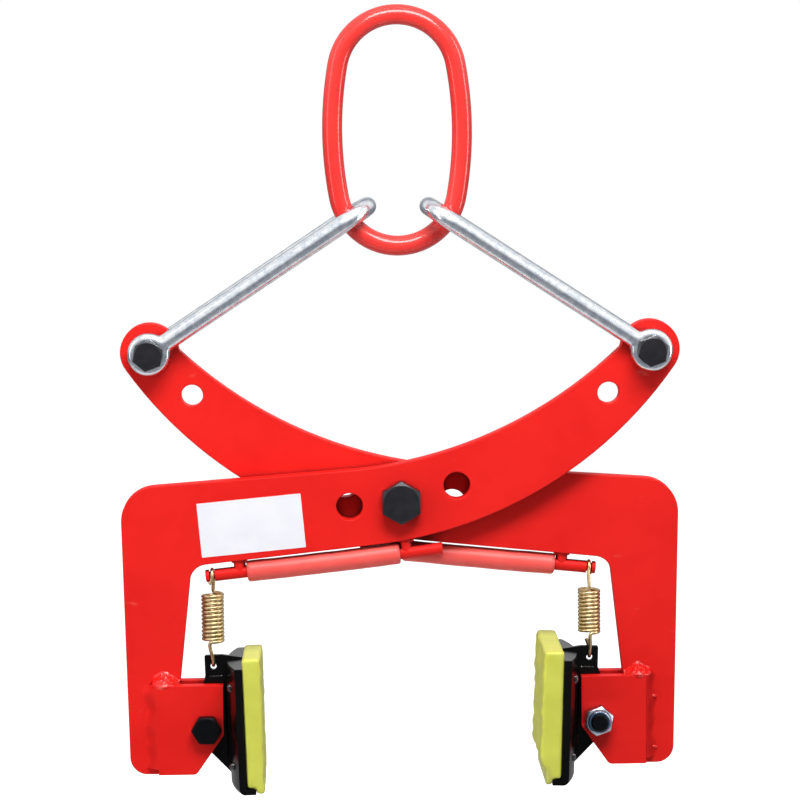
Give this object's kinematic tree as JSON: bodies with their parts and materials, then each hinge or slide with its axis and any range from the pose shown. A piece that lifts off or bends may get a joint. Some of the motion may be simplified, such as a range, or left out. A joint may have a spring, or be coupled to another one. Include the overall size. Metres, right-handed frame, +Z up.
{
  "type": "stone lifting clamp",
  "caption": "Scissor clamp for kerbs and stone slabs: a master link and long shackles pull crossed plate arms together, so sprung swivelling pads grip the stone.",
  "frame": {"origin": "inside crown of the master link, where the lifting hook bears", "axes": "+X to the right jaw, +Y to the back, away from the bolt heads, +Z up along the lifting line"},
  "size_m": [0.447, 0.1174, 0.6218],
  "materials": {
    "link_red": "bright red gloss coat",
    "arm_red": "red powder coat",
    "holder_black": "gloss black paint",
    "bolt_black": "black oxide",
    "shackle_zinc": "bright zinc plate",
    "nut_zinc": "blue zinc plate",
    "rod_steel": "red painted steel",
    "spring_zinc": "yellow zinc plate",
    "sleeve_rubber": "matt salmon rubber",
    "pad_polyurethane": "matt polyurethane"
  },
  "bodies": {
    "master_link": {"master_link": "link_red"},
    "left_shackle": {"left_shackle": "shackle_zinc", "left_shackle_bolt": "bolt_black", "left_shackle_nut": "nut_zinc"},
    "rear_arm": {"rear_arm": "arm_red", "right_front_cheek": "arm_red", "right_rear_cheek": "arm_red", "right_jaw_bolt": "bolt_black", "right_jaw_nut": "nut_zinc", "right_bumper_rod": "rod_steel", "right_outer_post": "arm_red", "right_inner_post": "arm_red", "right_bumper_sleeve": "sleeve_rubber", "right_spring": "spring_zinc"},
    "front_arm": {"front_arm": "arm_red", "pivot_bolt": "bolt_black", "pivot_nut": "nut_zinc", "pivot_spacer": "rod_steel", "left_front_cheek": "arm_red", "left_rear_cheek": "arm_red", "left_jaw_bolt": "bolt_black", "left_jaw_nut": "nut_zinc", "left_bumper_rod": "rod_steel", "left_outer_post": "arm_red", "left_inner_post": "arm_red", "left_bumper_sleeve": "sleeve_rubber", "left_spring": "spring_zinc"},
    "right_shackle": {"right_shackle": "shackle_zinc", "right_shackle_bolt": "bolt_black", "right_shackle_nut": "nut_zinc"},
    "left_pad_holder": {"left_shoe": "holder_black", "left_lug": "holder_black", "left_spring_tab": "holder_black", "left_pad": "pad_polyurethane"},
    "right_pad_holder": {"right_shoe": "holder_black", "right_lug": "holder_black", "right_spring_tab": "holder_black", "right_pad": "pad_polyurethane"}
  },
  "joints": [
    {"name": "left_shackle_swing", "type": "hinge", "parent": "master_link", "child": "left_shackle", "pos_m": [0, 0.00605, -0.1275], "axis": [0, 1, 0], "range_deg": [-23.1, 7.1]},
    {"name": "left_eye", "type": "hinge", "parent": "left_shackle", "child": "rear_arm", "pos_m": [-0.1995, 0.00875, -0.2585], "axis": [0, -1, 0], "range_deg": [-47.2, 14.2]},
    {"name": "arm_pivot", "type": "hinge", "parent": "rear_arm", "child": "front_arm", "pos_m": [0, 0, -0.3784], "axis": [0, 1, 0], "range_deg": [-48, 14]},
    {"name": "right_eye", "type": "hinge", "parent": "front_arm", "child": "right_shackle", "pos_m": [0.1995, -0.00875, -0.2585], "axis": [0, -1, 0], "range_deg": [-47.2, 14.2]},
    {"name": "left_pad_swivel", "type": "hinge", "parent": "front_arm", "child": "left_pad_holder", "pos_m": [-0.1575, -0.00875, -0.5585], "axis": [0, 1, 0], "range_deg": [0, 35], "stiffness_Nm_per_rad": 0.5, "springref_deg": -68.75, "deforming": ["left_spring"]},
    {"name": "right_pad_swivel", "type": "hinge", "parent": "rear_arm", "child": "right_pad_holder", "pos_m": [0.1575, 0.00875, -0.5585], "axis": [0, -1, 0], "range_deg": [0, 35], "stiffness_Nm_per_rad": 0.5, "springref_deg": -68.75, "deforming": ["right_spring"]}
  ],
  "couplings": [
    {"joint": "left_shackle_swing", "follows": "arm_pivot", "ratio": 0.47},
    {"joint": "left_eye", "follows": "arm_pivot", "ratio": 0.97},
    {"joint": "right_eye", "follows": "arm_pivot", "ratio": 0.97}
  ]
}
